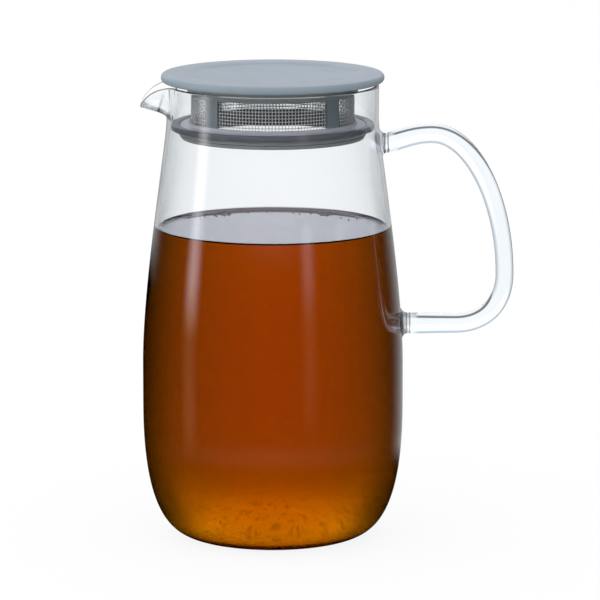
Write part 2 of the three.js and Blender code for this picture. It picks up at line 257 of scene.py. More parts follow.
class LidProperties(bpy.types.PropertyGroup):
    """Sizes of the lid: cover, cage, seal and retainer."""

    cover_thickness: length("Cover thickness", "Thickness of the cover at its rim", 3.5 * MM)
    rim_width: length("Rim width", "Flat rim round the cover's dish", 9.3 * MM)
    dish_slope: length("Dish slope", "Width of the slope into the dish", 6 * MM)
    dish_depth: length("Dish depth", "Depth of the cover's dish", 0.8 * MM)
    plug_wall: length("Plug wall", "Thickness of the ring below the cover", 1.5 * MM)
    post_width: length("Post width", "Width of each of the cage's posts", 7.3 * MM)
    post_wall: length("Post wall", "Thickness of the cage's posts", 0.9 * MM)
    window_height: length("Window height", "Height of the cage's windows", 12.3 * MM)
    window_corner: length("Window corner", "Radius of the windows' corners", 0.5 * MM)
    top_ring: length("Top ring height", "From the windows up to the cover", 5.3 * MM)
    ring_proud: length("Top ring proud", "How far the top ring stands out from the posts", 0.4 * MM)
    ring_chamfer: length("Top ring chamfer", "Slope below the top ring", 0.9 * MM)
    sill: length("Sill height", "From the flange up to the windows", 1.5 * MM)
    flange: length("Flange thickness", "Thickness of the flange below the windows", 1.5 * MM)
    ledge: length("Mesh ledge", "How far the ledges reach in past the mesh", 1.2 * MM)
    hem: length("Mesh hem", "How far the mesh runs on behind the cage", 1.2 * MM)
    hub_inset: length("Hub inset", "From the flange's edge in to the hub", 1.8 * MM)
    hub_wall: length("Hub wall", "Thickness of the hub", 1.8 * MM)
    fit_gap: length("Fit gap", "Clearance between pieces that fit together", 0.3 * MM)
    lip_proud: length("Lip proud", "How far the seal's lip stands over the flange", 0.5 * MM)
    lip_height: length("Lip height", "Height of the seal's lip", 2.7 * MM)
    seal_cone: length("Seal cone drop", "Height of the slope below the lip", 1.6 * MM)
    seal_wall: length("Seal wall", "Thickness of the seal below its lip", 1.7 * MM)
    retainer_taper: length("Retainer taper", "How much the retainer narrows downwards", 1 * MM)
    seam_chamfer: length("Seam chamfer", "Bevel on both sides of the dark seam", 0.25 * MM)


class MeshProperties(bpy.types.PropertyGroup):
    """The woven wire of the strainer."""

    uprights: IntProperty(name="Upright wires", description="Upright wires all round, an even number", default=156)
    rings: IntProperty(name="Level wires", description="Level rings of wire, one above another", default=10)
    wire_radius: length("Wire radius", "Radius of each wire", 0.205 * MM)


class TeaProperties(bpy.types.PropertyGroup):
    """The tea in the jug."""

    level: length("Level", "Height of the tea over the table", 141 * MM)
    meniscus: length("Meniscus", "How far the tea climbs up the glass", 1.4 * MM)
    meniscus_width: length("Meniscus width", "Distance over which the climb fades", 1.1 * MM)
    overlap: length("Overlap", "How far the tea reaches into the glass, so that no air shows", 0.12 * MM)
    bubbles: IntProperty(name="Bubbles", description="Small bubbles along the tea's edge", default=60)
    bubble_radius: length("Bubble radius", "Radius of the largest bubbles", 0.5 * MM)


class FinishProperties(bpy.types.PropertyGroup):
    """Colours of the finishes, with the painted light and shade of some of them."""

    cover: colour("Cover", "Matte blue-grey plastic of the cover", (0.24, 0.3, 0.345))
    cage: colour("Cage", "Satin plastic of the cage", (0.27, 0.315, 0.345))
    # Painted light: the top ring is the cage's plastic painted paler, to make up for the shade under the cover
    ring: colour("Top ring", "Shaded plastic of the cage's top ring", (0.33, 0.36, 0.36))
    # Painted light: the sill is the cage's plastic painted paler, for the light and reflections it shows below the
    # windows
    sill: colour("Sill", "Paler plastic of the cage below its windows", (0.75, 0.75, 0.82))
    # Painted shade: this dark colour stands in for the shade inside the cage, on the wire's inner side and at the
    # retainer's seam
    inside: colour("Inside", "Shaded inside of the cage", (0.04, 0.042, 0.048))
    lip: colour("Lip", "Upper part of the seal", (0.19, 0.2, 0.23))
    # Painted light: the seal below its lip is painted much paler than the lip, to make up for the dim light it gets
    # inside the glass
    seal: colour("Seal", "Lower part of the seal", (0.55, 0.56, 0.58))
    # Painted light: the retainer is painted paler, to make up for the dim light it gets inside the glass
    retainer: colour("Retainer", "Ring below the seal", (0.5, 0.51, 0.52))
    steel: colour("Steel", "Bright woven wire", (0.92, 0.92, 0.93))
    # Painted shade: the glass is painted grey where it is seen edge on
    glass_edge: colour("Glass edge", "Tint of the glass where it is seen edge on", (0.7, 0.74, 0.77))


class StageProperties(bpy.types.PropertyGroup):
    """Camera, floor and light."""

    distance: length("Camera distance", "From the camera to what it looks at", 2.1)
    aim_x: FloatProperty(name="Aim X", description="Where the camera looks", default=12.3 * MM, unit="LENGTH")
    aim_z: length("Aim height", "Height at which the camera looks", 107.8 * MM)
    pitch: angle("Pitch", "How far the camera looks down", 10.2)
    lens: FloatProperty(name="Lens", description="Focal length in millimetres", default=277.7, unit="CAMERA")
    floor: length("Floor", "Width of the floor", 8)
    fill: FloatProperty(name="Fill", description="Strength of the light from all round", default=0.85)


class PitcherProperties(bpy.types.PropertyGroup):
    """All the settings of the pitcher."""

    jug: PointerProperty(type=JugProperties)
    handle: PointerProperty(type=HandleProperties)
    lid: PointerProperty(type=LidProperties)
    mesh: PointerProperty(type=MeshProperties)
    tea: PointerProperty(type=TeaProperties)
    finish: PointerProperty(type=FinishProperties)
    stage: PointerProperty(type=StageProperties)


class Socket:
    """A node's output. Arithmetic on it adds Math nodes to its tree."""

    def __init__(self, tree, output):
        self.tree = tree
        self.output = output

    def __add__(self, other):
        return self.tree.maths("ADD", self, other)

    def __sub__(self, other):
        return self.tree.maths("SUBTRACT", self, other)

    def __rsub__(self, other):
        return self.tree.maths("SUBTRACT", other, self)

    def __mul__(self, other):
        return self.tree.maths("MULTIPLY", self, other)

    def __truediv__(self, other):
        return self.tree.maths("DIVIDE", self, other)

    def __pow__(self, other):
        return self.tree.maths("POWER", self, other)

    __radd__ = __add__
    __rmul__ = __mul__


def opaque(value):
    """Gives a plain colour its fourth number."""
    return value if isinstance(value, Socket) else (*value, 1.0)


class Tree:
    """A node tree to which nodes are added with their settings and the values or links of their sockets."""

    def __init__(self, tree):
        self.tree = tree

    def node(self, kind, settings=None, inputs=None, output=0):
        """Adds a node and returns one of its outputs. A list links several sockets to one input."""
        made = self.tree.nodes.new(kind)
        for name, value in (settings or {}).items():
            setattr(made, name, value)
        for name, value in (inputs or {}).items():
            for each in value if isinstance(value, list) else [value]:
                if isinstance(each, Socket):
                    self.tree.links.new(each.output, made.inputs[name])
                else:
                    made.inputs[name].default_value = each
        return Socket(self, made.outputs[output]) if made.outputs else None

    def maths(self, operation, *values):
        return self.node("ShaderNodeMath", {"operation": operation}, dict(enumerate(values)))

    def vector_maths(self, operation, *values, output="Value"):
        return self.node("ShaderNodeVectorMath", {"operation": operation}, dict(enumerate(values)), output)

    def blend(self, factor, first, second, blend_type="MIX"):
        """A Mix node on two colours."""
        settings = {"data_type": "RGBA", "blend_type": blend_type}
        return self.node("ShaderNodeMix", settings, {0: factor, 6: opaque(first), 7: opaque(second)}, 2)

    def blend_numbers(self, factor, first, second):
        """A Mix node on two numbers."""
        return self.node("ShaderNodeMix", inputs={0: factor, 2: first, 3: second})

    def ease(self, value, start, end, first=0.0, second=1.0):
        """A smooth step from one value to another while a socket goes from start to end."""
        inputs = {"Value": value, "From Min": start, "From Max": end, "To Min": first, "To Max": second}
        return self.node("ShaderNodeMapRange", {"interpolation_type": "SMOOTHSTEP"}, inputs)

    def place(self):
        return self.node("ShaderNodeTexCoord", output="Object")

    def height(self):
        """Height over the table."""
        return self.split(self.place(), "Z")

    def normal(self):
        return self.node("ShaderNodeTexCoord", output="Normal")

    def level_place(self):
        place = self.place()
        return self.vector(self.split(place, "X"), self.split(place, "Y"))

    def reach(self):
        """Distance from the jug's axis."""
        return self.vector_maths("LENGTH", self.level_place())

    def outward(self):
        """1 where the surface looks away from the jug's axis, -1 where it looks towards it."""
        way = self.vector_maths("NORMALIZE", self.level_place(), output="Vector")
        return self.vector_maths("DOT_PRODUCT", self.normal(), way)

    def split(self, vector, axis):
        return self.node("ShaderNodeSeparateXYZ", inputs={0: vector}, output="XYZ".index(axis))

    def vector(self, x=0.0, y=0.0, z=0.0):
        return self.node("ShaderNodeCombineXYZ", inputs={0: x, 1: y, 2: z})

    def ray(self, kind):
        return self.node("ShaderNodeLightPath", output=kind)

    def mirrored(self):
        """1 for a ray that has been reflected once."""
        return self.maths("COMPARE", self.ray("Glossy Depth"), 1.0, 0.5)

    def facing(self):
        """0 where the surface faces the eye, 1 at its outline."""
        return self.node("ShaderNodeLayerWeight", inputs={"Blend": 0.5}, output="Facing")

    def noise(self, scale, detail=2.0, roughness=0.5):
        inputs = {"Vector": self.place(), "Scale": scale, "Detail": detail, "Roughness": roughness}
        return self.node("ShaderNodeTexNoise", inputs=inputs)

    def bump(self, height, distance, strength=1.0):
        return self.node("ShaderNodeBump", inputs={"Strength": strength, "Distance": distance, "Height": height})


def material(name, look):
    """A material whose surface and volume come from a function of its tree."""
    made = bpy.data.materials.new(name)
    made.use_nodes = True
    made.node_tree.nodes.clear()
    tree = Tree(made.node_tree)
    tree.node("ShaderNodeOutputMaterial", inputs=look(tree))
    return made


def clear_surface(tree, tint, index, **sockets):
    """A smooth see-through surface with a refractive index."""
    inputs = {"Base Color": tint, "Roughness": 0.0, "IOR": index, "Transmission Weight": 1.0, **sockets}
    return tree.node("ShaderNodeBsdfPrincipled", inputs=inputs)


def absorption(tree, rates):
    """A clear volume that takes away red, green and blue at these rates for each metre."""
    most = max(rates)
    inputs = {"Color": opaque([1 - rate / most for rate in rates]), "Density": most}
    return tree.node("ShaderNodeVolumeAbsorption", inputs=inputs)


def spout_thinness(tree, x, z):
    """How see-through the spout is on its outer side, below its rim and where it squarely faces the eye."""
    below_rim = tree.ease(z - x * SPOUT_RIM_RISE, *SPOUT_RIM_FADE)
    leaning = tree.ease(tree.split(tree.normal(), "Z"), 0.1, -0.25)
    square = 1 - tree.facing() ** 2 * 0.6
    return tree.ease(z, *SPOUT_ROOT_FADE) * tree.ease(x, *SPOUT_START_FADE) * below_rim * leaning * square * 0.6


def blown_glass(tree):
    """Clear glass with faint waves, painted shade at its edges, base rim and welds, and thin at the spout and at the
    welds.
    """
    settings = bpy.context.scene.pitcher
    waves = tree.bump(tree.noise(GLASS_WAVES, 1.0), GLASS_WAVE_DEPTH, 0.35)
    # Painted shade: the glass greys towards its outline
    tint = tree.blend(tree.facing() ** 5, CLEAR_TINT, settings.finish.glass_edge)
    place = tree.place()
    x, z = tree.split(place, "X"), tree.split(place, "Z")
    # Painted shade: a dark rim at the base, where the glass meets the table
    base_rim_shade = tree.ease(z, *BASE_RIM_SHADE_FADE) * tree.ease(tree.reach(), *BASE_RIM_SHADE_REACH)
    tint = tree.blend(base_rim_shade, tint, BASE_RIM_SHADE)
    thin = spout_thinness(tree, x, z)
    for weld_x, weld_z in weld_points(settings.jug, settings.handle):
        near = tree.ease(tree.vector_maths("DISTANCE", place, (weld_x, 0, weld_z)), *WELD_FADE)
        # Painted shade: two dark rings at each weld, on either side of its groove
        beside = tree.maths("ABSOLUTE", tree.maths("ABSOLUTE", x - weld_x) - WELD_SHADE_RING_OFFSET)
        ring = near * tree.ease(beside, *WELD_SHADE_RING_FADE)
        tint = tree.blend(ring, tint, WELD_SHADE)
        thin = near * (1 - ring) * 0.55 + thin
    surface = clear_surface(tree, tint, GLASS_INDEX, Normal=waves, Alpha=1 - thin)
    return {"Surface": surface, "Volume": absorption(tree, GLASS_LOSS)}


def seen_squarely(tree, tilt, deep):
    """1 where the tea's side squarely faces the eye and 0 at its outline, with the heel's own tilt taken out."""
    slope = tree.maths("SQRT", 1.001 - tilt * tilt)
    side = 1 - tree.node("ShaderNodeNewGeometry", output="Backfacing") * 2
    square = 1 - tree.facing()
    upright = (square + side * tilt * TEA_HEEL_TURN) / slope
    return tree.maths("MINIMUM", square + deep * (upright - square), 1.0)


def brewed_tea(tree):
    """Clear amber tea, cloudy at its heel, with painted shade at its sides and base rim, and painted light low down
    and where it climbs the glass.
    """
    height = tree.height()
    deep = tree.ease(height, *TEA_HEEL_FADE)
    tilt = tree.maths("ABSOLUTE", tree.split(tree.node("ShaderNodeNewGeometry", output="Normal"), "Z"))
    square = seen_squarely(tree, tilt, deep)
    heel = deep * tree.ease(tilt, 0.04, 0.4)
    specks = tree.ease(tree.noise(TEA_SPECKS, 3.0, 0.75), 0.52, 0.66, 0.0, 0.6)
    cloud = specks * tree.ease(height, *TEA_CLOUD_FADE)
    # Painted shade: a dark rim at the tea's base, where the glass meets the table
    rim = tree.ease(height, *TEA_RIM_SHADE_FADE) * tree.ease(tree.reach(), *BASE_RIM_SHADE_REACH)
    # Painted shade: the tea's colour darkens towards its outline, more at the heel, and at its base rim; the specks
    # are its own
    light = square ** (TEA_SHADE_POWER + heel * TEA_HEEL_SHADE_POWER) * (1 - cloud) * (1 - rim * 0.6)
    # Painted light: the tea glows brighter towards its bottom and at its heel
    glow = tree.ease(height, *TEA_PAINTED_GLOW_FADE, 0.0, 0.09) + deep * 0.08
    light = light + (1 - light) * glow * (1 - rim)
    level = bpy.context.scene.pitcher.tea.level
    # Painted light: the tea's colour is lightened where it climbs the glass
    film = tree.ease(height, level + 0.3 * MM, level + 0.8 * MM, 0.0, 0.8)
    light = light + (1 - light) * film
    # Painted light: the amber is paler and yellower where the heel faces the eye and where the tea climbs the glass
    pale = tree.maths("MAXIMUM", deep * tree.ease(square, 0.7, 1.05), film)
    amber = tree.blend(pale, TEA_TINT, WHITE)
    surface = clear_surface(tree, tree.blend(light, BLACK, amber), TEA_INDEX)
    return {"Surface": surface, "Volume": absorption(tree, TEA_LOSS)}


def bubble_film(tree):
    """Thin bubbles with painted shade at their rims."""
    # Painted shade: the bubbles darken towards their outline
    tint = tree.blend(tree.facing() ** 1.5, BUBBLE_TINT, BUBBLE_EDGE_SHADE)
    inputs = {"Base Color": tint, "Roughness": 0.15, "IOR": BUBBLE_INDEX, "Transmission Weight": 0.3}
    return {"Surface": tree.node("ShaderNodeBsdfPrincipled", inputs=inputs)}


def grained(tree, tint, roughness, spread, depth):
    """Plastic or rubber with a fine grain, which also varies its roughness."""
    fine = tree.noise(PLASTIC_GRAIN)
    inputs = {
        "Base Color": tint,
        "Roughness": roughness + (fine - 0.5) * spread,
        "Normal": tree.bump(fine, depth),
    }
    return {"Surface": tree.node("ShaderNodeBsdfPrincipled", inputs=inputs)}


def moulded(base, roughness, grain, upper=None, height=0.0):
    """Moulded plastic or rubber with slight clouds in its colour, which may change at a height."""

    def look(tree):
        shade = tree.ease(tree.noise(PLASTIC_CLOUDS, 3.0), 0.3, 0.7, 0.95, 1.04)
        cloud = tree.node("ShaderNodeCombineColor", inputs={0: shade, 1: shade, 2: shade})
        tint = base
        if upper:
            above = tree.ease(tree.height(), height - COLOUR_FADE, height + COLOUR_FADE)
            tint = tree.blend(above, base, upper)
        return grained(tree, tree.blend(1.0, tint, cloud, "MULTIPLY"), roughness, 0.12, grain)

    return look


def moulded_cage(finish, sill_top, ring_bottom):
    """The cage's plastic, with painted light on its top ring and below its windows, and painted shade inside."""

    def look(tree):
        height = tree.height()
        # Painted light: the top ring is painted paler than the cage
        above = tree.ease(height, ring_bottom - COLOUR_FADE, ring_bottom + 0.5 * MM)
        # Painted light: paler below the windows
        below = tree.ease(height, sill_top + COLOUR_FADE, sill_top - COLOUR_FADE)
        # Painted shade: darker where the plastic looks into the cage
        outer = tree.ease(tree.outward(), -0.4, -0.1)
        faced = tree.blend(below, tree.blend(above, finish.cage, finish.ring), finish.sill)
        return grained(tree, tree.blend(outer, finish.inside, faced), 0.34, 0.1, CAGE_GRAIN_DEPTH)

    return look


def drawn_steel(base, shaded):
    """Bright wire with faint streaks, and painted shade on the side that looks into the cage."""

    def look(tree):
        inputs = {
            # Painted shade on the wire's side that looks into the cage
            "Base Color": tree.blend(tree.ease(tree.outward(), -0.3, 0.2), shaded, base),
            "Metallic": 0.1,
            "Roughness": tree.ease(tree.noise(STEEL_STREAKS), 0.2, 0.8, 0.44, 0.58),
        }
        return {"Surface": tree.node("ShaderNodeBsdfPrincipled", inputs=inputs)}

    return look


def mix(first, second, part):
    return first + (second - first) * part


def smooth(part):
    return part * part * (3 - 2 * part)


def bezier(points, parts):
    """Points on a cubic curve at some parts of it, and the curve's directions there."""
    part = np.asarray(parts)[:, None]
    rest = 1 - part
    a, b, c, d = (np.array(point, float) for point in points)
    places = rest**3 * a + 3 * rest**2 * part * b + 3 * rest * part**2 * c + part**3 * d
    slopes = rest**2 * (b - a) + 2 * rest * part * (c - b) + part**2 * (d - c)
    return places, slopes / np.linalg.norm(slopes, axis=1)[:, None]


def grid_faces(rows, columns, looped=False):
    """Faces of a grid of points whose columns close on themselves, and whose rows may too."""
    faces = []
    for row in range(rows if looped else rows - 1):
        upper = (row + 1) % rows * columns
        for column in range(columns):
            after = (column + 1) % columns
            faces.append((row * columns + column, row * columns + after, upper + after, upper + column))
    return faces


def plain_mesh(name, points, faces):
    mesh = bpy.data.meshes.new(name)
    mesh.from_pydata([tuple(point) for point in points], [], faces)
    return mesh


def solid_mesh(name, points, faces):
    """A closed mesh with its doubled points merged and its faces outwards."""
    mesh = plain_mesh(name, points, faces)
    shape = bmesh.new()
    shape.from_mesh(mesh)
    bmesh.ops.remove_doubles(shape, verts=shape.verts, dist=MERGE_DISTANCE)
    bmesh.ops.recalc_face_normals(shape, faces=shape.faces)
    shape.to_mesh(mesh)
    shape.free()
    return mesh


def capped_mesh(name, rings):
    """A closed mesh over rings of points, with a flat face over the first ring and over the last."""
    rows, columns = rings.shape[:2]
    last = (rows - 1) * columns
    ends = [tuple(range(columns)), tuple(range(last, last + columns))]
    return solid_mesh(name, rings.reshape(-1, 3), grid_faces(rows, columns) + ends)


def lathe(name, profile, looped=True):
    """A profile of radius and height turned about the jug's axis. If it isn't looped, its ends are on the axis."""
    turns = np.linspace(0, 2 * np.pi, TURN_STEPS, endpoint=False)
    radii, heights = np.array(profile, float).T[:, :, None]
    points = np.stack(np.broadcast_arrays(radii * np.cos(turns), radii * np.sin(turns), heights), axis=-1)
    return solid_mesh(name, points.reshape(-1, 3), grid_faces(len(profile), TURN_STEPS, looped))


def rounded(corners):
    """A closed outline through corners of (radius, height, fillet), with each fillet as a short curve."""
    places = [np.array(corner[:2], float) for corner in corners]
    outline = []
    for i, (corner, (_, _, fillet)) in enumerate(zip(places, corners)):
        if not fillet:
            outline.append(corner)
            continue
        sides = [places[i - 1] - corner, places[(i + 1) % len(corners)] - corner]
        spans = [np.linalg.norm(side) for side in sides]
        ways = [side / span for side, span in zip(sides, spans)]
        half = math.acos(np.clip(np.dot(*ways), -1, 1)) / 2
        cut = min(fillet / math.tan(half), *(0.48 * span for span in spans))
        ends = [corner + way * cut for way in ways]
        for part in np.linspace(0, 1, FILLET_STEPS + 1):
            outline.append((1 - part) ** 2 * ends[0] + 2 * part * (1 - part) * corner + part**2 * ends[1])
    return outline


def added(name, data):
    """A new object in the scene."""
    made = bpy.data.objects.new(name, data)
    bpy.context.scene.collection.objects.link(made)
    return made


def new_piece(name, mesh, finish, sharp_angle=SHARP_ANGLE):
    """A piece at the origin with its material, smooth but for its sharp edges."""
    piece = added(name, mesh)
    mesh.materials.clear()
    mesh.materials.append(finish)
    mesh.polygons.foreach_set("use_smooth", [True] * len(mesh.polygons))
    mesh.set_sharp_from_angle(angle=sharp_angle)
    return piece


def applied(holder):
    """The plain mesh that an object's modifiers make."""
    bpy.context.view_layer.update()
    graph = bpy.context.evaluated_depsgraph_get()
    mesh = bpy.data.meshes.new_from_object(holder.evaluated_get(graph))
    holder.modifiers.clear()
    return mesh


def combine(mesh, others, operation):
    """Joins other closed meshes to a mesh, or cuts them out of it."""
    holder = added("holder", mesh)
    tools = [added("tool", other) for other in others]
    for tool in tools:
        modifier = holder.modifiers.new("combine", "BOOLEAN")
        modifier.operation = operation
        modifier.solver = "EXACT"
        modifier.object = tool
    result = applied(holder)
    for spare in [holder, *tools]:
        bpy.data.objects.remove(spare)
    return result


def heel_curve(jug):
    return [
        (jug.base_radius, 0),
        (mix(jug.base_radius, jug.belly_radius, jug.heel_floor), 0),
        (jug.belly_radius, jug.belly_bottom * (1 - jug.heel_side)),
        (jug.belly_radius, jug.belly_bottom),
    ]


def shoulder_curve(jug):
    top = jug.height - jug.neck_length
    return [
        (jug.belly_radius, jug.belly_top),
        (jug.belly_radius, mix(jug.belly_top, top, jug.shoulder_belly)),
        (jug.neck_radius, mix(top, jug.belly_top, jug.shoulder_neck)),
        (jug.neck_radius, top),
    ]


def wall_sides(jug):
    """The outside and the inside of the wall from the base to below the rim, as radius and height."""
    outer, inner = [], []
    runs = [
        (heel_curve(jug), HEEL_STEPS, jug.base_thickness, jug.belly_wall),
        (shoulder_curve(jug), SHOULDER_STEPS, jug.belly_wall, jug.neck_wall),
    ]
    for curve, steps, start_wall, end_wall in runs:
        places, along = bezier(curve, np.linspace(0, 1, steps + 1))
        walls = np.linspace(start_wall, end_wall, steps + 1)[:, None]
        outer.append(places)
        inner.append(places + np.column_stack([-along[:, 1], along[:, 0]]) * walls)
    parts = np.linspace(0, 1, LIP_STEPS + 1) ** LIP_CROWDING
    heights = mix(jug.height - jug.spout_depth, jug.height - jug.neck_wall / 2, parts)
    outer.append(np.column_stack([np.full_like(heights, jug.neck_radius), heights]))
    inner.append(np.column_stack([np.full_like(heights, jug.neck_radius - jug.neck_wall), heights]))
    return np.vstack(outer), np.vstack(inner)


def wall_section(jug):
    """Up the outside, over the rounded rim and down the inside."""
    outer, inner = wall_sides(jug)
    turns = np.pi * np.arange(1, RIM_STEPS) / RIM_STEPS
    half = jug.neck_wall / 2
    rim = np.column_stack([jug.neck_radius - half + np.cos(turns) * half, jug.height - half + np.sin(turns) * half])
    return np.vstack([outer, rim, inner[::-1]])


def leaned(jug, section, angles):
    """The section at each angle round the jug, leaned out where it belongs to the spout."""
    off = np.abs(angles - np.pi) / jug.spout_half_angle
    pinch = np.cos(np.pi / 2 * np.minimum(off, 1)) ** 2
    radius, height = section[:, :1], section[:, 1:]
    root = jug.height - jug.spout_depth
    middle = jug.neck_radius - jug.neck_wall / 2
    rise = np.maximum(height - root, 0)
    lean = jug.spout_lean * pinch
    run = rise * mix(1, jug.spout_lip / jug.spout_depth, pinch)
    turned = np.minimum(lean, run / jug.spout_bend)
    straight = np.maximum(0, run - jug.spout_bend * lean)
    out = jug.spout_bend * (1 - np.cos(turned)) + straight * np.sin(turned)
    up = jug.spout_bend * np.sin(turned) + straight * np.cos(turned)
    offset = radius - middle
    bent = (rise > 0) & (off < 1)
    far = np.where(bent, middle + out + offset * np.cos(turned), radius)
    tall = np.where(bent, root + up - offset * np.sin(turned), height)
    return np.stack([far * np.cos(angles), far * np.sin(angles), tall], axis=-1)


def jug_mesh(jug):
    half = jug.spout_half_angle
    rest = np.linspace(half - np.pi, np.pi - half, JUG_STEPS, endpoint=False)
    spout = np.linspace(np.pi - half, np.pi + half, SPOUT_STEPS, endpoint=False)
    angles = np.concatenate([rest, spout])
    return capped_mesh("jug", leaned(jug, wall_section(jug), angles))


def wall_radius(jug, height):
    outer, _ = wall_sides(jug)
    return np.interp(height, outer[:, 1], outer[:, 0])


def weld_points(jug, handle):
    """Where the rod starts and ends, at its welds, as X and Z."""
    upper_z = jug.height - handle.upper_drop
    lower_z = upper_z - handle.root_spacing
    upper = (wall_radius(jug, upper_z) + handle.upper_boss, upper_z)
    lower = (wall_radius(jug, lower_z) + handle.lower_boss, lower_z)
    return np.array(upper), np.array(lower)


def rod_curves(jug, handle):
    """The four curves of the rod's middle line, from the upper weld to the lower one."""
    start, end = weld_points(jug, handle)
    crest = start + (handle.crest_out, handle.crest_rise)
    far = np.array((jug.belly_radius + handle.reach, end[1] + handle.far_rise))
    limb = end + (handle.lower_limb, 0)
    out, drop = far[0] - crest[0], crest[1] - far[1]
    pull = handle.crest_out * UPPER_LIMB_SHARES[0]
    rise = np.array((math.cos(handle.root_rise), math.sin(handle.root_rise)))
    return [
        [start, start + rise * pull, crest - (handle.crest_out * UPPER_LIMB_SHARES[1], 0), crest],
        [crest, crest + (out * OUTER_BEND_SHARES[0], 0), far + (0, drop * OUTER_BEND_SHARES[1]), far],
        [
            far,
            far - (0, handle.far_rise * LOWER_BEND_SHARES[0]),
            limb + ((far[0] - limb[0]) * LOWER_BEND_SHARES[1], 0),
            limb,
        ],
        [limb, mix(limb, end, 1 / 3), mix(limb, end, 2 / 3), end],
    ]


def run_parts(run, steps):
    """Parts of one of the rod's curves, crowded together where it meets a weld."""
    parts = np.linspace(0, 1, steps + 1)
    close = np.linspace(0, SEAM_REACH, SEAM_STEPS, endpoint=False)
    if run == 0:
        return np.concatenate([close, mix(SEAM_REACH, 1, parts)])
    if run == len(RUN_STEPS) - 1:
        return np.concatenate([mix(0, 1 - SEAM_REACH, parts), 1 - close[::-1]])[1:]
    return parts[1:]


def turned_level(places, along, weld):
    """Directions that start level at the weld, as the boss is, and turn into the curve's own."""
    away = np.linalg.norm(places - weld, axis=1)[:, None]
    turned = mix(np.array((1.0, 0.0)), along, smooth(np.minimum(away / ROOT_BEND, 1)))
    return turned / np.linalg.norm(turned, axis=1)[:, None]


def rings_about(places, along, radii):
    """Rings of points square to a line in the plane of the handle."""
    turns = np.linspace(0, 2 * np.pi, ROD_SIDES, endpoint=False)
    across = radii[:, None] * np.cos(turns)
    x = places[:, :1] - along[:, 1:] * across
    z = places[:, 1:] + along[:, :1] * across
    return np.stack([x, -radii[:, None] * np.sin(turns), z], axis=-1)


def groove(handle, away):
    """How much thinner the glass is at some distances from a weld."""
    return handle.weld_groove * np.exp(-((away / handle.weld_width) ** 2))


def boss_rings(jug, handle, weld, radius, side):
    """Rings from inside the wall to the weld. Each line of a boss flares where it meets the wall."""
    parts = np.linspace(0, 1, BOSS_STEPS, endpoint=False)
    boss_length = weld[0] - wall_radius(jug, weld[1])
    radii = radius + handle.boss_flare * (1 - parts) ** 3 - groove(handle, (1 - parts) * boss_length)
    turns = np.linspace(0, 2 * np.pi, ROD_SIDES, endpoint=False)
    y = -radii[:, None] * np.sin(turns)
    z = weld[1] + side * radii[:, None] * np.cos(turns)
    wall = np.sqrt(wall_radius(jug, z) ** 2 - y**2) - BOSS_START
    x = mix(wall, weld[0], parts[:, None])
    rings = np.stack([x, y, z], axis=-1)
    return np.concatenate([rings[:1] - (BOSS_SINK, 0, 0), rings])


def rod_mesh(jug, handle):
    """The rod with its two bosses, as one solid, with a groove at each weld."""
    places, along, radii = [], [], []
    for run, (curve, steps) in enumerate(zip(rod_curves(jug, handle), RUN_STEPS)):
        parts = run_parts(run, steps)
        some, slopes = bezier(curve, parts)
        places.append(some)
        along.append(slopes)
        radii.append(mix(ROD_RADII[run], ROD_RADII[run + 1], smooth(parts)))
    places, along, radii = np.vstack(places), np.vstack(along), np.concatenate(radii)
    upper, lower = weld_points(jug, handle)
    along = turned_level(places, along, upper)
    for weld in (upper, lower):
        radii = radii - groove(handle, np.linalg.norm(places - weld, axis=1))
    rings = np.concatenate(
        [
            boss_rings(jug, handle, upper, ROD_RADII[0], 1),
            rings_about(places, along, radii),
            boss_rings(jug, handle, lower, ROD_RADII[-1], -1)[::-1],
        ]
    )
    return capped_mesh("rod", rings)


def make_glass(settings):
    """The jug, its bosses and the rod as one body of glass."""
    jug, handle = settings.jug, settings.handle
    mesh = combine(jug_mesh(jug), [rod_mesh(jug, handle)], "UNION")
    mesh.name = "blown_glass"
    piece = new_piece("blown_glass", mesh, material("blown glass", blown_glass), GLASS_SHARP_ANGLE)
    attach(piece, "jug")
    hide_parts("jug_body", "handle")


def tea_radius(settings, height):
    """Inside radius of the glass at a height."""
    _, inner = wall_sides(settings.jug)
    return float(np.interp(height, inner[:, 1], inner[:, 0]))


def make_tea(settings):
    """The tea up to its level, a little into the glass, with its edge drawn up the wall."""
    tea = settings.tea
    _, inner = wall_sides(settings.jug)
    top = tea.level + tea.meniscus
    edge = tea_radius(settings, top)
    side = [(radius + tea.overlap, height - tea.overlap) for radius, height in inner if height < top]
    gaps = edge * np.linspace(0, 1, SURFACE_STEPS) ** 2
    surface = [(edge - gap, tea.level + tea.meniscus * math.exp(-gap / tea.meniscus_width)) for gap in gaps]
    profile = [(0, side[0][1]), *side, (edge + tea.overlap, top), *surface]
    piece = new_piece("tea", lathe("tea", profile, looped=False), material("brewed tea", brewed_tea))
    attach(piece, "jug")


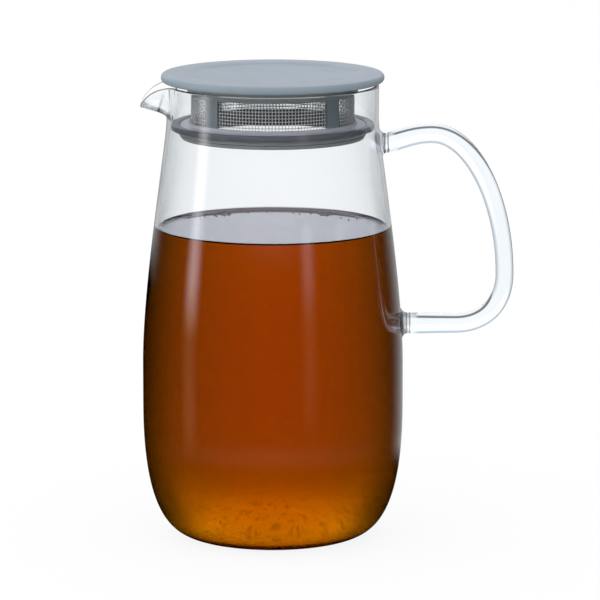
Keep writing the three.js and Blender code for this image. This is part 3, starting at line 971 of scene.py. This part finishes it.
def make_cover(settings):
    """The disc over the rim, dished on top, with the ring below it that fits in the cage."""
    lid = settings.lid
    edge, top = high("lid_cover").x, high("lid_cover").z
    underside, plug_bottom = top - lid.cover_thickness, low("lid_cover").z
    plug = high("strainer_mesh").x - lid.ledge - lid.fit_gap
    dish, floor = edge - lid.rim_width, top - lid.dish_depth
    turns = np.linspace(-np.pi / 2, np.pi / 2, COVER_EDGE_STEPS + 1)
    round_edge = [
        (edge - COVER_EDGE_ROUND * (1 - math.cos(turn)), underside + lid.cover_thickness * (1 + math.sin(turn)) / 2)
        for turn in turns
    ]
    parts = np.linspace(0, 1, DISH_STEPS + 1)
    slope = [(dish - lid.dish_slope * part, mix(top, floor, smooth(part))) for part in parts]
    profile = [
        (0, underside),
        (plug - lid.plug_wall, underside),
        (plug - lid.plug_wall, plug_bottom),
        (plug - PLUG_CHAMFER, plug_bottom),
        (plug, plug_bottom + PLUG_CHAMFER),
        (plug, underside),
        *round_edge,
        *slope,
        (0, floor),
    ]
    finish = material("matte cover", moulded(settings.finish.cover, 0.5, COVER_GRAIN_DEPTH))
    piece = new_piece("cover", lathe("cover", profile, looped=False), finish)
    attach(piece, "lid")
    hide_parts("lid_cover")


def cage_heights(lid):
    """Heights of the cage: underside of the cover, windows' top and bottom, flange's top and bottom."""
    underside = high("strainer_frame").z
    window_top = underside - lid.top_ring
    window_bottom = window_top - lid.window_height
    flange_top = window_bottom - lid.sill
    return underside, window_top, window_bottom, flange_top, flange_top - lid.flange


def window_cutter(lid, middle):
    """A block bent round the cage, with rounded corners, that cuts one window."""
    _, window_top, window_bottom, _, _ = cage_heights(lid)
    inside = high("strainer_mesh").x + lid.fit_gap
    post = inside + lid.post_wall
    corner = lid.window_corner
    reach = math.pi / POST_COUNT - (lid.post_width / 2 + corner) / post
    turns = np.linspace(0, np.pi / 2, CORNER_STEPS)
    swings = reach + corner / post * np.sin(turns)
    drops = corner * (1 - np.cos(turns))
    swings = np.concatenate([-swings[::-1], np.linspace(-reach, reach, WINDOW_STEPS)[1:-1], swings]) + middle
    drops = np.concatenate([drops[::-1], np.zeros(WINDOW_STEPS - 2), drops])
    near, far = inside - CUT_OVERRUN, post + CUT_OVERRUN
    bottom, top = window_bottom + drops, window_top - drops
    lines = [
        np.column_stack([radius * np.cos(swings), radius * np.sin(swings), heights])
        for radius, heights in ((near, bottom), (far, bottom), (far, top), (near, top))
    ]
    return capped_mesh("window", np.stack(lines, axis=1))


def make_cage(settings):
    """The cage: top ring, four posts, sill, flange and hub, turned in one and cut by four windows."""
    lid = settings.lid
    underside, window_top, window_bottom, flange_top, flange_bottom = cage_heights(lid)
    flange, bottom = high("strainer_frame").x, low("strainer_frame").z
    hub = flange - lid.hub_inset
    inner = hub - lid.hub_wall
    inside = high("strainer_mesh").x + lid.fit_gap
    ledge = high("strainer_mesh").x - lid.ledge
    post = inside + lid.post_wall
    ring = post + lid.ring_proud
    hem_top, hem_bottom = window_top + lid.hem + lid.fit_gap, window_bottom - lid.hem
    corners = [
        (inner, bottom, SMALL_FILLET),
        (hub, bottom, SMALL_FILLET),
        (hub, flange_bottom, 0),
        (flange, flange_bottom, SMALL_FILLET),
        (flange, flange_top, 2.5 * SMALL_FILLET),
        (post, flange_top, 2.5 * SMALL_FILLET),
        (post, window_top, SMALL_FILLET),
        (ring, window_top + lid.ring_chamfer, 1.5 * SMALL_FILLET),
        (ring, underside, SMALL_FILLET),
        (ledge, underside, SMALL_FILLET),
        (ledge, hem_top, 0),
        (inside, hem_top, 0),
        (inside, hem_bottom, 0),
        (ledge, hem_bottom, 0),
        (ledge, flange_bottom, 0),
        (inner, flange_bottom, 0),
    ]
    cutters = [window_cutter(lid, 2 * math.pi * i / POST_COUNT) for i in range(POST_COUNT)]
    mesh = combine(lathe("cage", rounded(corners)), cutters, "DIFFERENCE")
    mesh.name = "cage"
    look = moulded_cage(settings.finish, window_bottom, window_top)
    piece = new_piece("cage", mesh, material("satin cage", look))
    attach(piece, "lid")
    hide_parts("strainer_frame")


def ring_bore(lid):
    """Inside radius of the two rings on the hub."""
    return high("strainer_frame").x - lid.hub_inset + lid.fit_gap


def make_seal(settings):
    """The soft ring whose lip flares out to the neck."""
    lid = settings.lid
    _, _, _, flange_top, flange_bottom = cage_heights(lid)
    bore, lip, bottom = ring_bore(lid), high("lid_seal").x, low("lid_seal").z
    body = bore + lid.seal_wall
    lip_top = flange_top + lid.lip_proud
    lip_bottom = lip_top - lid.lip_height
    flange = high("strainer_frame").x + lid.fit_gap
    chamfer = lid.seam_chamfer
    corners = [
        (bore, bottom, 0),
        (body - chamfer, bottom, 0),
        (body, bottom + chamfer, chamfer / 2),
        (body, lip_bottom - lid.seal_cone, 4 * SMALL_FILLET),
        (lip - 2 * SMALL_FILLET, lip_bottom, 4 * SMALL_FILLET),
        (lip, lip_bottom + 3 * SMALL_FILLET, 3 * SMALL_FILLET),
        (lip, lip_top - 2 * SMALL_FILLET, 3 * SMALL_FILLET),
        (lip - 3 * SMALL_FILLET, lip_top, 2 * SMALL_FILLET),
        (flange, flange_top, SMALL_FILLET),
        (flange, flange_bottom, 0),
        (bore, flange_bottom, 0),
    ]
    # Painted light: the seal is paler below its lip than on it, to make up for the dim light inside the glass
    look = moulded(settings.finish.seal, 0.34, RING_GRAIN_DEPTH, settings.finish.lip, lip_bottom)
    piece = new_piece("seal", lathe("seal", rounded(corners)), material("soft seal", look))
    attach(piece, "seal")
    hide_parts("lid_seal")


def make_retainer(settings):
    """The ring below the seal, painted paler for the dim light inside the glass, with painted shade at its upper
    bevel, where the seam is.
    """
    lid = settings.lid
    bore, body = ring_bore(lid), high("seal_retainer").x
    bottom, top = low("seal_retainer").z, high("seal_retainer").z - SEAM_GAP
    chamfer = lid.seam_chamfer
    corners = [
        (bore, bottom, SMALL_FILLET / 2),
        (body - lid.retainer_taper, bottom, 2 * SMALL_FILLET),
        (body, top - chamfer, chamfer / 2),
        (body - chamfer, top, 0),
        (bore, top, 0),
    ]
    # Painted shade at the upper bevel, in the seam between retainer and seal
    look = moulded(settings.finish.retainer, 0.32, RING_GRAIN_DEPTH, settings.finish.inside, top - chamfer)
    piece = new_piece("retainer", lathe("retainer", rounded(corners)), material("satin retainer", look))
    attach(piece, "lid")
    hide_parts("seal_retainer")


class GrownShape:
    """A geometry node group with named inputs, and the plain mesh that it makes."""

    def __init__(self, name, sizes):
        self.name = name
        self.sizes = sizes
        self.group = bpy.data.node_groups.new(name, "GeometryNodeTree")
        self.group.interface.new_socket(name="Geometry", in_out="OUTPUT", socket_type="NodeSocketGeometry")
        self.identifiers = {label: self.add_input(label, value) for label, value in sizes.items()}
        self.tree = Tree(self.group)
        inputs = self.group.nodes.new("NodeGroupInput")
        self.inputs = {label: Socket(self.tree, inputs.outputs[label]) for label in sizes}

    def add_input(self, label, value):
        kinds = {int: "NodeSocketInt", bpy.types.Material: "NodeSocketMaterial"}
        kind = kinds.get(type(value), "NodeSocketFloat")
        return self.group.interface.new_socket(name=label, in_out="INPUT", socket_type=kind).identifier

    def end(self, geometry):
        """Ends the tree in real, smooth faces of the input named Finish."""
        shaded = self.tree.node("GeometryNodeSetShadeSmooth", inputs={0: geometry})
        real = self.tree.node("GeometryNodeRealizeInstances", inputs={0: shaded})
        inputs = {"Geometry": real, "Material": self.inputs["Finish"]}
        painted = self.tree.node("GeometryNodeSetMaterial", inputs=inputs)
        output = self.group.nodes.new("NodeGroupOutput")
        self.group.links.new(painted.output, output.inputs[0])

    def piece(self, name):
        """A piece with the mesh that the tree makes of the sizes."""
        holder = added(name, bpy.data.meshes.new("empty"))
        modifier = holder.modifiers.new(self.name, "NODES")
        modifier.node_group = self.group
        for label, value in self.sizes.items():
            modifier[self.identifiers[label]] = value
        holder.data = applied(holder)
        holder.data.name = name
        return holder


def weave(shape):
    """Upright wires that pass over and under level rings of wire."""
    tree, size = shape.tree, shape.inputs
    radius, height, bottom = size["Radius"], size["Height"], size["Bottom"]
    uprights, rings = size["Upright wires"], size["Level wires"]
    wire, steps = size["Wire radius"], size["Steps"]
    index = tree.node("GeometryNodeInputIndex")
    section = tree.node("GeometryNodeCurvePrimitiveCircle", inputs={"Resolution": WIRE_SIDES, "Radius": wire})

    circle = tree.node("GeometryNodeCurvePrimitiveCircle", inputs={"Resolution": uprights * steps, "Radius": radius})
    swell = 1 - tree.maths("COSINE", index * math.pi / steps) * wire / radius
    place = tree.node("GeometryNodeInputPosition")
    waved = tree.node("ShaderNodeVectorMath", {"operation": "SCALE"}, {"Vector": place, "Scale": swell})
    ring = tree.node("GeometryNodeSetPosition", inputs={"Geometry": circle, "Position": waved})
    ring_tube = tree.node("GeometryNodeCurveToMesh", inputs={"Curve": ring, "Profile Curve": section})
    pitch = height / rings
    first = tree.vector(z=bottom + pitch * 0.5)
    levels = {"Count": rings, "Start Location": first, "Offset": tree.vector(z=pitch)}
    line = tree.node("GeometryNodeMeshLine", inputs=levels)
    turn = index * (2 * math.pi) / uprights
    inputs = {"Points": line, "Instance": ring_tube, "Rotation": tree.vector(z=turn)}
    all_rings = tree.node("GeometryNodeInstanceOnPoints", inputs=inputs)

    ends = {"Start": tree.vector(z=bottom), "End": tree.vector(z=bottom + height)}
    line = tree.node("GeometryNodeCurvePrimitiveLine", inputs=ends)
    points = tree.node("GeometryNodeResampleCurve", inputs={"Curve": line, "Count": rings * steps + 1})
    sway = tree.maths("COSINE", (index / steps - 0.5) * math.pi) * wire
    upright = tree.node("GeometryNodeSetPosition", inputs={"Geometry": points, "Offset": tree.vector(x=sway)})
    inputs = {"Curve": upright, "Profile Curve": section, "Fill Caps": True}
    upright_tube = tree.node("GeometryNodeCurveToMesh", inputs=inputs)
    circle = tree.node("GeometryNodeMeshCircle", inputs={"Vertices": uprights, "Radius": radius})
    inputs = {"Points": circle, "Instance": upright_tube, "Rotation": tree.vector(z=turn + index * math.pi)}
    all_uprights = tree.node("GeometryNodeInstanceOnPoints", inputs=inputs)
    shape.end(tree.node("GeometryNodeJoinGeometry", inputs={0: [all_rings, all_uprights]}))


def make_mesh(settings):
    """The band of woven wire behind the cage's windows."""
    wires = settings.mesh
    bottom, top = low("strainer_mesh").z, high("strainer_mesh").z
    sizes = {
        "Radius": high("strainer_mesh").x - 2 * wires.wire_radius,
        "Bottom": bottom,
        "Height": top - bottom,
        "Upright wires": wires.uprights,
        "Level wires": wires.rings,
        "Wire radius": wires.wire_radius,
        "Steps": WEAVE_STEPS,
        "Finish": material("drawn steel", drawn_steel(settings.finish.steel, settings.finish.inside)),
    }
    shape = GrownShape("woven wire", sizes)
    weave(shape)
    piece = shape.piece("woven_mesh")
    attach(piece, "lid")
    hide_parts("strainer_mesh")


def froth(shape):
    """Small bubbles in two loose groups along the far edge of the tea."""
    tree, size = shape.tree, shape.inputs
    index = tree.node("GeometryNodeInputIndex")

    def chance(lowest, highest, seed):
        inputs = {2: lowest, 3: highest, "ID": index, "Seed": seed}
        return tree.node("FunctionNodeRandomValue", {"data_type": "FLOAT"}, inputs, 1)

    side = tree.maths("MODULO", index, 2.0) * 2 - 1
    stray = 1 + chance(0.0, 1.0, 3) ** 4 * FROTH_STRAY
    spread = size["Spread"] * (chance(-1.0, 1.0, 1) + chance(-1.0, 1.0, 2)) * stray
    swing = side * size["Group angle"] + math.pi / 2 + spread
    gap = chance(0.7, 1.0, 4) ** 2 * FROTH_GAP * size["Bubble radius"]
    radius = size["Radius"] - gap
    height = size["Level"] + size["Meniscus"] * tree.maths("EXPONENT", gap * -1 / size["Meniscus width"])
    place = tree.vector(tree.maths("COSINE", swing) * radius, tree.maths("SINE", swing) * radius, height)
    line = tree.node("GeometryNodeMeshLine", inputs={"Count": size["Count"]})
    points = tree.node("GeometryNodeSetPosition", inputs={"Geometry": line, "Position": place})
    ball = {"Radius": size["Bubble radius"], "Subdivisions": BUBBLE_SUBDIVISIONS}
    ball = tree.node("GeometryNodeMeshIcoSphere", inputs=ball)
    inputs = {"Points": points, "Instance": ball, "Scale": chance(SMALLEST_BUBBLE, 1.0, 5)}
    shape.end(tree.node("GeometryNodeInstanceOnPoints", inputs=inputs))


def make_froth(settings):
    """The small bubbles along the tea's edge."""
    tea = settings.tea
    sizes = {
        "Radius": tea_radius(settings, tea.level) - tea.bubble_radius,
        "Level": tea.level,
        "Meniscus": tea.meniscus,
        "Meniscus width": tea.meniscus_width,
        "Count": tea.bubbles,
        "Bubble radius": tea.bubble_radius,
        "Group angle": FROTH_ANGLE,
        "Spread": FROTH_SPREAD,
        "Finish": material("bubble film", bubble_film),
    }
    shape = GrownShape("froth", sizes)
    froth(shape)
    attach(shape.piece("bubbles"), "jug")


def pale_floor(tree):
    """White to the camera, with a faint shadow, and plain and pale to the light."""
    plain = tree.node("ShaderNodeBsdfDiffuse", inputs={"Color": opaque(FLOOR_LIGHT)})
    paper = tree.node("ShaderNodeBsdfDiffuse", inputs={"Color": opaque(WHITE)})
    white = tree.node("ShaderNodeEmission", inputs={"Color": opaque(WHITE)})
    shaded = tree.node("ShaderNodeMixShader", inputs={0: SHADOW_SHARE, 1: white, 2: paper})
    seen = tree.ray("Is Camera Ray")
    return {"Surface": tree.node("ShaderNodeMixShader", inputs={0: seen, 1: plain, 2: shaded})}


def make_floor(stage):
    half = stage.floor / 2
    corners = [(-half, -half, 0), (half, -half, 0), (half, half, 0), (-half, half, 0)]
    floor = new_piece("floor", plain_mesh("floor", corners, [(0, 1, 2, 3)]), material("pale floor", pale_floor))
    floor.visible_glossy = False
    floor.visible_transmission = False


def black_flag(tree):
    """Black in reflections and nowhere else, with soft edges, and above the disc only on the spout's side."""
    hidden = tree.node("ShaderNodeBsdfTransparent")
    black = tree.node("ShaderNodeEmission", inputs={"Strength": 0.0})
    height = tree.height()
    upper = tree.ease(height, FLAG_TOP, FLAG_TOP - FLAG_FADE)
    shown = tree.mirrored() * upper * tree.ease(tree.reach(), DISC_RADIUS, FLAG_RADIUS)
    above = tree.ease(height, -DISC_DEPTH, DISC_DEPTH)
    shown = shown * (1 - above * tree.ease(tree.split(tree.place(), "X"), *FLAG_END))
    return {"Surface": tree.node("ShaderNodeMixShader", inputs={0: shown, 1: hidden, 2: black})}


def arc_points(radius, turns, height):
    return np.stack([radius * np.cos(turns), radius * np.sin(turns), np.full_like(turns, height)], axis=-1)


def make_flag():
    """A dark card round the back of the jug on the spout's side and a dark disc below, which keep the heel dark."""
    turns = np.linspace(np.pi / 2, np.pi, FLAG_STEPS)
    around = np.linspace(0, 2 * np.pi, DISC_STEPS, endpoint=False)
    rows = [arc_points(FLAG_RADIUS, turns, height) for height in (-DISC_DEPTH, FLAG_TOP)]
    points = np.concatenate([*rows, arc_points(DISC_RADIUS, around, -DISC_DEPTH)])
    faces = [(i, i + 1, FLAG_STEPS + i + 1, FLAG_STEPS + i) for i in range(FLAG_STEPS - 1)]
    faces.append(tuple(range(2 * FLAG_STEPS, 2 * FLAG_STEPS + DISC_STEPS)))
    flag = new_piece("flag", plain_mesh("flag", points, faces), material("black flag", black_flag))
    flag.visible_camera = False
    flag.visible_shadow = False


def mirrored_light(tree, sky, back, up):
    """What pieces mirror: a sky that is brightest behind the jug, over a dim horizon and ground."""
    horizon = tree.maths("MAXIMUM", tree.ease(back, 0.6, 0.97, 0.01, 0.55), tree.ease(up, -0.25, -0.5, 0.0, 0.5))
    return sky * tree.ease(back, 0.6, 0.87, 0.6, 1.6) + (1 - sky) * horizon


def fill_light(tree, right, back, up):
    """What lights matt pieces: most from the camera's side, less from the handle's side and from below."""
    shade = tree.ease(right, 0.1, 0.9) * tree.ease(up, 0.8, 0.2) * 0.75
    level_light = tree.ease(up, -0.2, 0.1) * tree.ease(up, 0.7, 0.3)
    facing_light = level_light * (0.8 + tree.ease(back, 0.1, -0.6) * 0.5)
    return (tree.ease(up, -0.25, 0.1, 0.5, 1.0) + facing_light) * (1 - shade)


def light_through(tree, beside, above, back, up):
    """What shows through clear pieces: white, greyer at the sides and above, with the dark edge of a table."""
    sweep = 1.1 + tree.ease(up, -0.12, 0.04) * tree.ease(back, 0.8, 0.95) * 0.65
    table_edge = tree.ease(up, -0.72, -0.62) * tree.ease(up, -0.44, -0.52)
    return sweep * (1 - table_edge * 0.8) * (1 - beside * 0.3) * (1 - above * 0.25)


def make_world(stage):
    """White to the camera, and other light for what is mirrored, what is seen through glass and what is lit."""
    world = bpy.data.worlds.new("studio")
    world.use_nodes = True
    world.node_tree.nodes.clear()
    tree = Tree(world.node_tree)
    way = tree.node("ShaderNodeTexCoord", output="Generated")
    right, back, up = (tree.split(way, axis) for axis in "XYZ")
    sky = tree.ease(up, 0.05, 0.15)
    beside = tree.ease(tree.maths("ABSOLUTE", right), 0.35, 0.8)
    above = tree.ease(up, 0.12, 0.5)
    passed = tree.ray("Is Transmission Ray")
    diffused = tree.maths("GREATER_THAN", tree.ray("Diffuse Depth"), 0.5)
    level = tree.blend_numbers(passed, 1.0, light_through(tree, beside, above, back, up))
    level = tree.blend_numbers(tree.mirrored(), level, mirrored_light(tree, sky, back, up))
    level = tree.blend_numbers(diffused, level, fill_light(tree, right, back, up) * stage.fill)
    cool = tree.maths("MAXIMUM", beside, above) * passed * (1 - diffused)
    tint = tree.blend(cool, WHITE, COOL_LIGHT)
    tint = tree.blend(tree.mirrored() * (1 - diffused) * sky, tint, SKY_LIGHT)
    background = tree.node("ShaderNodeBackground", inputs={"Color": tint, "Strength": level})
    tree.node("ShaderNodeOutputWorld", inputs={"Surface": background})
    bpy.context.scene.world = world


# Softboxes: azimuth 0 is the camera's side and positive turns towards the handle, in degrees and metres
SOFTBOXES = {
    "overhead_softbox": dict(azimuth=0, elevation=84, distance=1.5, size=(2.2, 2.2), radiance=0.2, aim=0.1),
    "side_softbox": dict(azimuth=-76.5, elevation=0, distance=0.62, size=(0.24, 0.44), radiance=2.6, aim=0.05),
    "front_softbox": dict(azimuth=32.5, elevation=0, distance=0.9, size=(0.3, 0.39), radiance=0.65, aim=0.025),
}
# The part of a softbox's height over which its glow rises, and the glow below that
GLOWS = {"side_softbox": (0.47, 0.68, 0.14), "front_softbox": (0.6, 0.9, 0.3)}


def softbox_glow(tree, start, end, lowest):
    """Light that fades towards the sides and the foot of a softbox, and is weaker and warmer in its lower part."""
    place = tree.node("ShaderNodeNewGeometry", output="Parametric")
    across, along = tree.split(place, "X"), tree.split(place, "Y")
    sides = tree.ease(across, 0.0, 0.5) * tree.ease(across, 1.0, 0.5)
    upper = tree.ease(along, start, end)
    strength = sides * tree.ease(along, 0.0, 0.25) * (lowest + upper * (1 - lowest))
    glow = tree.blend(upper, WARM_GLOW, WHITE)
    light = tree.node("ShaderNodeEmission", inputs={"Color": glow, "Strength": strength})
    tree.node("ShaderNodeOutputLight", inputs={"Surface": light})


def add_softbox(name, azimuth, elevation, distance, size, radiance, aim):
    """An area light that shines at the jug's axis from a direction."""
    light = bpy.data.lights.new(name, "AREA")
    light.shape = "RECTANGLE"
    light.size, light.size_y = size
    light.energy = radiance * math.pi * size[0] * size[1]
    if name in GLOWS:
        light.use_nodes = True
        light.node_tree.nodes.clear()
        softbox_glow(Tree(light.node_tree), *GLOWS[name])
    around, rise = math.radians(azimuth), math.radians(elevation)
    way = Vector((math.sin(around) * math.cos(rise), -math.cos(around) * math.cos(rise), math.sin(rise)))
    box = added(name, light)
    box.location = way * distance + Vector((0, 0, aim))
    box.rotation_euler = way.to_track_quat("Z", "Y").to_euler()
    box.visible_camera = False


def make_camera(stage):
    camera = bpy.data.cameras.new("camera")
    camera.lens = stage.lens
    camera.clip_start = CLIP_START
    eye = added("camera", camera)
    out, rise = math.cos(stage.pitch), math.sin(stage.pitch)
    eye.location = (stage.aim_x, -stage.distance * out, stage.aim_z + stage.distance * rise)
    eye.rotation_euler = (math.pi / 2 - stage.pitch, 0, 0)
    bpy.context.scene.camera = eye


def make_stage(settings):
    """Floor, world, softboxes and camera."""
    make_floor(settings.stage)
    make_flag()
    make_world(settings.stage)
    for name, softbox in SOFTBOXES.items():
        add_softbox(name, **softbox)
    make_camera(settings.stage)
    scene = bpy.context.scene
    scene.view_settings.view_transform = "Standard"
    scene.cycles.max_bounces = BOUNCES
    scene.cycles.transmission_bounces = BOUNCES


class PITCHER_OT_glass(bpy.types.Operator):
    """Blows the jug and welds its handle on"""

    bl_idname = "pitcher.glass"
    bl_label = "Glass"

    def execute(self, context):
        make_glass(context.scene.pitcher)
        return {"FINISHED"}


class PITCHER_OT_tea(bpy.types.Operator):
    """Fills the jug with tea"""

    bl_idname = "pitcher.tea"
    bl_label = "Tea"

    def execute(self, context):
        make_tea(context.scene.pitcher)
        return {"FINISHED"}


class PITCHER_OT_froth(bpy.types.Operator):
    """Adds the small bubbles along the tea's edge"""

    bl_idname = "pitcher.froth"
    bl_label = "Bubbles"

    def execute(self, context):
        make_froth(context.scene.pitcher)
        return {"FINISHED"}


class PITCHER_OT_cover(bpy.types.Operator):
    """Makes the lid's cover"""

    bl_idname = "pitcher.cover"
    bl_label = "Cover"

    def execute(self, context):
        make_cover(context.scene.pitcher)
        return {"FINISHED"}


class PITCHER_OT_cage(bpy.types.Operator):
    """Makes the strainer's cage"""

    bl_idname = "pitcher.cage"
    bl_label = "Cage"

    def execute(self, context):
        make_cage(context.scene.pitcher)
        return {"FINISHED"}


class PITCHER_OT_mesh(bpy.types.Operator):
    """Weaves the strainer's wire"""

    bl_idname = "pitcher.mesh"
    bl_label = "Woven wire"

    def execute(self, context):
        make_mesh(context.scene.pitcher)
        return {"FINISHED"}


class PITCHER_OT_seal(bpy.types.Operator):
    """Makes the soft seal and the ring that keeps it on"""

    bl_idname = "pitcher.seal"
    bl_label = "Seal and retainer"

    def execute(self, context):
        make_seal(context.scene.pitcher)
        make_retainer(context.scene.pitcher)
        return {"FINISHED"}


class PITCHER_OT_stage(bpy.types.Operator):
    """Sets up the floor, the light and the camera"""

    bl_idname = "pitcher.stage"
    bl_label = "Studio"

    def execute(self, context):
        make_stage(context.scene.pitcher)
        return {"FINISHED"}


class PITCHER_PT_panel(bpy.types.Panel):
    """Lists the pitcher's settings and the steps that build it"""

    bl_label = "Tea pitcher"
    bl_space_type = "VIEW_3D"
    bl_region_type = "UI"
    bl_category = "Pitcher"

    def draw(self, context):
        settings = context.scene.pitcher
        for part in PitcherProperties.__annotations__:
            group = getattr(settings, part)
            box = self.layout.box()
            box.label(text=part.capitalize())
            for name in type(group).__annotations__:
                box.prop(group, name)
        for operator in OPERATORS:
            self.layout.operator(operator.bl_idname)


GROUPS = [
    JugProperties,
    HandleProperties,
    LidProperties,
    MeshProperties,
    TeaProperties,
    FinishProperties,
    StageProperties,
    PitcherProperties,
]
OPERATORS = [
    PITCHER_OT_glass,
    PITCHER_OT_tea,
    PITCHER_OT_froth,
    PITCHER_OT_cover,
    PITCHER_OT_cage,
    PITCHER_OT_mesh,
    PITCHER_OT_seal,
    PITCHER_OT_stage,
]
CLASSES = [*GROUPS, *OPERATORS, PITCHER_PT_panel]


def register():
    for each in CLASSES:
        bpy.utils.register_class(each)
    bpy.types.Scene.pitcher = PointerProperty(type=PitcherProperties)


def unregister():
    del bpy.types.Scene.pitcher
    for each in reversed(CLASSES):
        bpy.utils.unregister_class(each)


def main():
    register()
    for operator in OPERATORS:
        getattr(bpy.ops.pitcher, operator.bl_idname.partition(".")[2])()


if __name__ == "__main__":
    main()
